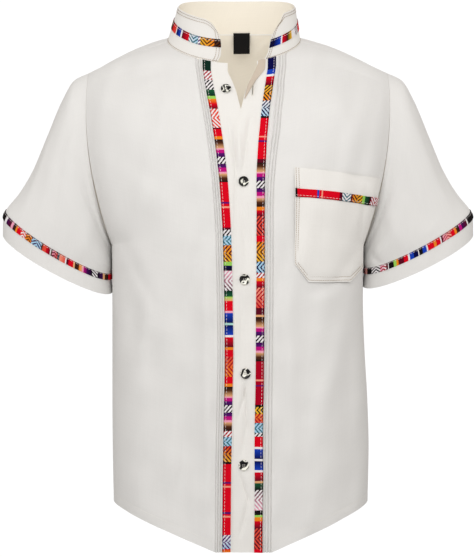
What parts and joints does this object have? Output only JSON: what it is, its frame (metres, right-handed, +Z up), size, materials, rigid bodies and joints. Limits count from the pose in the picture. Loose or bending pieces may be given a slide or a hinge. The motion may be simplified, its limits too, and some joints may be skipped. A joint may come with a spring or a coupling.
{
  "type": "guayabera_shirt",
  "caption": "Short-sleeved cream guayabera shirt in its worn hollow form, standing collar, multicoloured woven trims, breast pocket, shell buttons and a bare neck label",
  "frame": {"origin": "the centre of the neck's base, at the middle of the neck seam", "axes": "+Z up along the wearer's spine, -Y out of the wearer's front, +X to the wearer's left"},
  "size_m": [0.7096, 0.2864, 0.8192],
  "materials": {
    "cream_cloth": "matt off-white plain weave",
    "woven_trim": "multicoloured woven braid, red the commonest colour",
    "dark_shell": "glossy dark iridescent shell",
    "black_label": "bare black woven label"
  },
  "bodies": {
    "root": {"front_right": "cream_cloth", "front_left": "cream_cloth", "back": "cream_cloth", "sleeve_right": "cream_cloth", "sleeve_left": "cream_cloth", "collar": "cream_cloth", "placket_button": "cream_cloth", "placket_buttonhole": "cream_cloth", "pocket": "cream_cloth", "trim_front_right": "woven_trim", "trim_front_left": "woven_trim", "trim_collar": "woven_trim", "trim_sleeve_right": "woven_trim", "trim_sleeve_left": "woven_trim", "trim_pocket": "woven_trim", "button_1": "dark_shell", "button_2": "dark_shell", "button_3": "dark_shell", "button_4": "dark_shell", "button_5": "dark_shell", "label": "black_label"}
  },
  "joints": []
}
